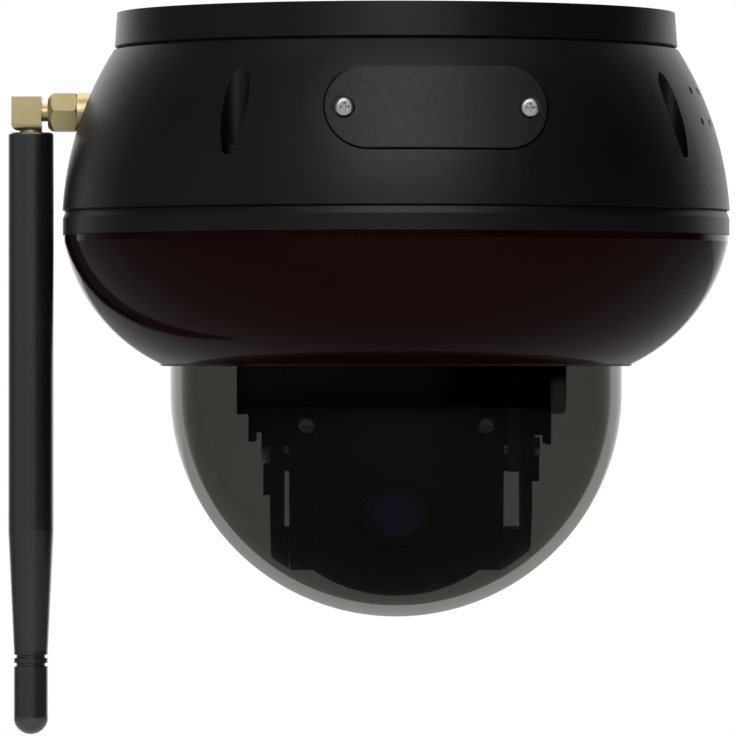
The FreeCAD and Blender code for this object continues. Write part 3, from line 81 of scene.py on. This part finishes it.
# The finish of every other material slot: two close tones, roughness, grain and relief.
OPAQUE = {
    "housing_black": dict(
        dark=(0.0030, 0.0030, 0.0032), light=(0.0042, 0.0042, 0.0044),
        rough=(0.38, 0.46), grain=FINE_GRAIN, bump=0.22, level=0.32),
    "cover_black": dict(
        dark=(0.0100, 0.0100, 0.0104), light=(0.0135, 0.0135, 0.0140),
        rough=(0.46, 0.56), grain=MOULD_GRAIN, bump=0.30, level=0.40),
    "window_red": dict(
        dark=(0.0095, 0.0008, 0.0007), light=(0.0120, 0.0011, 0.0010),
        rough=(0.07, 0.11), grain=MOULD_GRAIN, bump=0.02, level=0.06),
    "seal_rubber": dict(
        dark=(0.008, 0.008, 0.008), light=(0.013, 0.013, 0.013),
        rough=(0.75, 0.90), grain=RUBBER_GRAIN, bump=0.35),
    "screw_steel": dict(
        dark=(0.60, 0.60, 0.59), light=(0.70, 0.70, 0.69),
        rough=(0.34, 0.46), grain=BRUSH_GRAIN, bump=0.12, metallic=1.0),
    "screw_black": dict(
        dark=(0.018, 0.018, 0.019), light=(0.028, 0.028, 0.029),
        rough=(0.34, 0.46), grain=BRUSH_GRAIN, bump=0.12, metallic=1.0),
    "gold_brass": dict(
        dark=(0.62, 0.515, 0.280), light=(0.74, 0.620, 0.350),
        rough=(0.36, 0.48), grain=BRUSH_GRAIN, bump=0.12, metallic=1.0),
    "antenna_black": dict(
        dark=(0.0085, 0.0085, 0.0088), light=(0.0120, 0.0120, 0.0124),
        rough=(0.22, 0.28), grain=MOULD_GRAIN, bump=0.22, coat=0.7, coat_rough=0.24, level=1.0),
    "head_black": dict(
        dark=(0.0022, 0.0022, 0.0024), light=(0.0040, 0.0040, 0.0044),
        rough=(0.50, 0.62), grain=MOULD_GRAIN, bump=0.25, level=0.14),
    "inner_black": dict(
        dark=(0.006, 0.006, 0.006), light=(0.010, 0.010, 0.010),
        rough=(0.55, 0.70), grain=MOULD_GRAIN, bump=0.25),
    "plate_steel": dict(
        dark=(0.45, 0.46, 0.47), light=(0.58, 0.59, 0.60),
        rough=(0.32, 0.46), grain=BRUSH_GRAIN, bump=0.15, metallic=1.0),
    "bearing_steel": dict(
        dark=(0.66, 0.66, 0.67), light=(0.78, 0.78, 0.79),
        rough=(0.10, 0.20), grain=BRUSH_GRAIN, bump=0.05, metallic=1.0),
    "gear_nylon": dict(
        dark=(0.66, 0.65, 0.60), light=(0.78, 0.77, 0.72),
        rough=(0.40, 0.52), grain=MOULD_GRAIN, bump=0.18),
    "motor_metal": dict(
        dark=(0.42, 0.43, 0.45), light=(0.55, 0.56, 0.58),
        rough=(0.26, 0.38), grain=BRUSH_GRAIN, bump=0.12, metallic=1.0),
    "board_green": dict(
        dark=(0.010, 0.085, 0.035), light=(0.018, 0.125, 0.052),
        rough=(0.26, 0.38), grain=BRUSH_GRAIN, bump=0.15, coat=0.3),
    "board_white": dict(
        dark=(0.62, 0.62, 0.60), light=(0.74, 0.74, 0.72),
        rough=(0.30, 0.42), grain=BRUSH_GRAIN, bump=0.12, coat=0.3),
    "socket_metal": dict(
        dark=(0.50, 0.50, 0.50), light=(0.63, 0.63, 0.63),
        rough=(0.22, 0.36), grain=BRUSH_GRAIN, bump=0.15, metallic=1.0),
    "switch_black": dict(
        dark=(0.010, 0.010, 0.010), light=(0.017, 0.017, 0.017),
        rough=(0.42, 0.55), grain=MOULD_GRAIN, bump=0.20),
    "button_grey": dict(
        dark=(0.13, 0.13, 0.13), light=(0.18, 0.18, 0.18),
        rough=(0.42, 0.54), grain=MOULD_GRAIN, bump=0.25),
    # Lens: the strong blue base colour, with metallic held at 0.35 so that more of it shows as diffuse
    # colour, is partly the coating's own tint and partly a painted reflection standing in for the lens's
    # blue-purple glint.
    "lens_glass": dict(
        dark=(0.020, 0.018, 0.22), light=(0.034, 0.026, 0.30),
        rough=(0.05, 0.09), grain=SOFT_CLOUD, bump=0.0, metallic=0.35, coat=0.5, coat_rough=0.02),
}


def new_tree(name):
    """A material with an empty node tree that ends in its output."""
    material = bpy.data.materials.new(name)
    material.use_nodes = True
    tree = material.node_tree
    tree.nodes.clear()
    output = tree.nodes.new("ShaderNodeOutputMaterial")
    return material, tree, output


def noise(tree, scale, detail):
    """Noise fixed to the object's own coordinates."""
    place = tree.nodes.new("ShaderNodeTexCoord")
    texture = tree.nodes.new("ShaderNodeTexNoise")
    texture.inputs["Scale"].default_value = scale
    texture.inputs["Detail"].default_value = detail
    tree.links.new(place.outputs["Object"], texture.inputs["Vector"])
    return texture.outputs["Fac"]


def spread(tree, value, low, high):
    """The noise's middle range stretched from low to high."""
    ranged = tree.nodes.new("ShaderNodeMapRange")
    ranged.inputs["From Min"].default_value = NOISE_MIDDLE[0]
    ranged.inputs["From Max"].default_value = NOISE_MIDDLE[1]
    ranged.inputs["To Min"].default_value = low
    ranged.inputs["To Max"].default_value = high
    tree.links.new(value, ranged.inputs["Value"])
    return ranged.outputs["Result"]


def two_tones(tree, value, dark, light):
    """A colour that wanders between two tones."""
    ramp = tree.nodes.new("ShaderNodeValToRGB")
    for element, stop, tone in zip(ramp.color_ramp.elements, TONE_STOPS, (dark, light)):
        element.position = stop
        element.color = (*tone, 1.0)
    tree.links.new(value, ramp.inputs["Fac"])
    return ramp.outputs["Color"]


def relief(tree, value, strength):
    """A fine relief that follows the grain."""
    bump = tree.nodes.new("ShaderNodeBump")
    bump.inputs["Strength"].default_value = strength
    bump.inputs["Distance"].default_value = BUMP_DISTANCE
    tree.links.new(value, bump.inputs["Height"])
    return bump.outputs["Normal"]


def surface(name, dark, light, rough, grain, bump, metallic=0.0, coat=0.0, coat_rough=0.1, level=0.5):
    """An opaque finish: two close tones, uneven roughness and a fine relief."""
    material, tree, output = new_tree(name)
    shader = tree.nodes.new("ShaderNodeBsdfPrincipled")
    shader.inputs["Metallic"].default_value = metallic
    shader.inputs["Specular IOR Level"].default_value = level
    shader.inputs["Coat Weight"].default_value = coat
    shader.inputs["Coat Roughness"].default_value = coat_rough
    cloud = noise(tree, SOFT_CLOUD, CLOUD_DETAIL)
    fine = noise(tree, grain, GRAIN_DETAIL)
    tree.links.new(two_tones(tree, cloud, dark, light), shader.inputs["Base Color"])
    tree.links.new(spread(tree, fine, *rough), shader.inputs["Roughness"])
    tree.links.new(relief(tree, fine, bump), shader.inputs["Normal"])
    tree.links.new(shader.outputs["BSDF"], output.inputs["Surface"])
    return material


def edge_share(tree):
    """How much a clear wall mirrors: little straight on, all at its edge."""
    facing = tree.nodes.new("ShaderNodeLayerWeight")
    edge = tree.nodes.new("ShaderNodeMath")
    edge.operation = "POWER"
    edge.inputs[1].default_value = CLEAR_EDGE_POWER
    share = tree.nodes.new("ShaderNodeMapRange")
    share.inputs["To Min"].default_value = CLEAR_MIRROR
    tree.links.new(facing.outputs["Facing"], edge.inputs[0])
    tree.links.new(edge.outputs["Value"], share.inputs["Value"])
    return share.outputs["Result"]


def clear(name, tint):
    """A thin see-through wall: tinted straight on, mirroring towards its edges."""
    material, tree, output = new_tree(name)
    through = tree.nodes.new("ShaderNodeBsdfTransparent")
    through.inputs["Color"].default_value = tint
    gloss = tree.nodes.new("ShaderNodeBsdfGlossy")
    uneven = spread(tree, noise(tree, SOFT_CLOUD, CLOUD_DETAIL), *CLEAR_ROUGH)
    tree.links.new(uneven, gloss.inputs["Roughness"])
    mixed = tree.nodes.new("ShaderNodeMixShader")
    tree.links.new(edge_share(tree), mixed.inputs["Fac"])
    tree.links.new(through.outputs["BSDF"], mixed.inputs[1])
    tree.links.new(gloss.outputs["BSDF"], mixed.inputs[2])
    tree.links.new(mixed.outputs["Shader"], output.inputs["Surface"])
    return material


def finish_nodes():
    """Gives each piece the finish of its material slot."""
    finishes = {slot: surface(slot, **look) for slot, look in OPAQUE.items()}
    finishes.update({slot: clear(slot, tint) for slot, tint in CLEAR.items()})
    for subpart in frame["record"]["subparts"]:
        node = frame["nodes"][subpart["node"]]
        node.data.materials.clear()
        node.data.materials.append(finishes[subpart["material_slot"]])


def even_shading(node):
    """Shades by the size of the faces, so that slivers beside a cut leave no dark corner on the wall."""
    mesh = node.data
    if "custom_normal" in mesh.attributes:
        mesh.attributes.remove(mesh.attributes["custom_normal"])
    mesh.shade_smooth()
    mesh.set_sharp_from_angle(angle=math.radians(SHARP_DEGREES))
    weighted = node.modifiers.new("even_shading", "WEIGHTED_NORMAL")
    weighted.keep_sharp = True


def make_floor():
    """A round pale floor below the hanging camera."""
    turns = [i * math.tau / FLOOR_SIDES for i in range(FLOOR_SIDES)]
    rim = [(FLOOR_RADIUS * math.cos(turn), FLOOR_RADIUS * math.sin(turn), -FLOOR_DROP) for turn in turns]
    mesh = bpy.data.meshes.new("floor")
    mesh.from_pydata(rim, [], [tuple(range(FLOOR_SIDES))])
    floor = bpy.data.objects.new("floor", mesh)
    bpy.context.scene.collection.objects.link(floor)
    mesh.materials.append(surface("floor_pale", **FLOOR_FINISH))


def bearing(tree, parts):
    """The angle of a direction about the vertical, in radians, 0 towards the front."""
    front = tree.nodes.new("ShaderNodeMath")
    front.operation = "MULTIPLY"
    front.inputs[1].default_value = -1.0
    angle = tree.nodes.new("ShaderNodeMath")
    angle.operation = "ARCTAN2"
    tree.links.new(parts.outputs["Y"], front.inputs[0])
    tree.links.new(parts.outputs["X"], angle.inputs[0])
    tree.links.new(front.outputs["Value"], angle.inputs[1])
    return angle.outputs["Value"]


def greys(tree, value, low, high, stops, blend):
    """Grey tones along a value between low and high; stops are pairs of value and tone."""
    share = tree.nodes.new("ShaderNodeMapRange")
    share.inputs["From Min"].default_value = low
    share.inputs["From Max"].default_value = high
    ramp = tree.nodes.new("ShaderNodeValToRGB")
    ramp.color_ramp.interpolation = blend
    while len(ramp.color_ramp.elements) < len(stops):
        ramp.color_ramp.elements.new(0.5)
    for element, (stop, tone) in zip(ramp.color_ramp.elements, stops):
        element.position = (stop - low) / (high - low)
        element.color = (tone, tone, tone, 1.0)
    tree.links.new(value, share.inputs["Value"])
    tree.links.new(share.outputs["Result"], ramp.inputs["Fac"])
    return ramp.outputs["Color"]


def make_world():
    """White behind the camera's view; for light, a studio whose brightness changes with direction."""
    world = bpy.data.worlds.new("studio")
    world.use_nodes = True
    bpy.context.scene.world = world
    tree = world.node_tree
    tree.nodes.clear()
    output = tree.nodes.new("ShaderNodeOutputWorld")
    place = tree.nodes.new("ShaderNodeTexCoord")
    parts = tree.nodes.new("ShaderNodeSeparateXYZ")
    tree.links.new(place.outputs["Generated"], parts.inputs["Vector"])
    lit = tree.nodes.new("ShaderNodeBackground")
    turns = [(math.radians(turn), tone) for turn, tone in ROOM]
    around = greys(tree, bearing(tree, parts), -math.pi, math.pi, turns, "EASE")
    tree.links.new(around, lit.inputs["Color"])
    upward = greys(tree, parts.outputs["Z"], -1.0, 1.0, ROOM_HEIGHT, "LINEAR")
    tree.links.new(upward, lit.inputs["Strength"])
    seen = tree.nodes.new("ShaderNodeBackground")
    seen.inputs["Color"].default_value = (1.0, 1.0, 1.0, 1.0)
    path = tree.nodes.new("ShaderNodeLightPath")
    mixed = tree.nodes.new("ShaderNodeMixShader")
    tree.links.new(path.outputs["Is Camera Ray"], mixed.inputs["Fac"])
    tree.links.new(lit.outputs["Background"], mixed.inputs[1])
    tree.links.new(seen.outputs["Background"], mixed.inputs[2])
    tree.links.new(mixed.outputs["Shader"], output.inputs["Surface"])


def make_lamp(name, place, size, power, target):
    """A square soft box that points at the target."""
    data = bpy.data.lights.new(name, "AREA")
    data.shape = "SQUARE"
    data.size = size
    data.energy = power
    lamp = bpy.data.objects.new(name, data)
    bpy.context.scene.collection.objects.link(lamp)
    lamp.location = place
    lamp.rotation_euler = (Vector(target) - Vector(place)).to_track_quat("-Z", "Y").to_euler()


def make_camera():
    """The viewpoint: level, in front and a little towards the antenna."""
    data = bpy.data.cameras.new("viewpoint")
    data.sensor_width = SENSOR_MM
    data.lens = LENS_MM
    camera = bpy.data.objects.new("viewpoint", data)
    bpy.context.scene.collection.objects.link(camera)
    camera.location = (VIEW_SIDE, -VIEW_DISTANCE, VIEW_HEIGHT)
    camera.rotation_euler = (math.radians(LEVEL_DEGREES), 0.0, 0.0)
    bpy.context.scene.camera = camera


bpy.context.scene.view_settings.view_transform = "Standard"
finish_nodes()
even_shading(frame["nodes"]["upper_housing"])
make_floor()
make_world()
for name, lamp in LAMPS.items():
    make_lamp(name, **lamp)
make_camera()
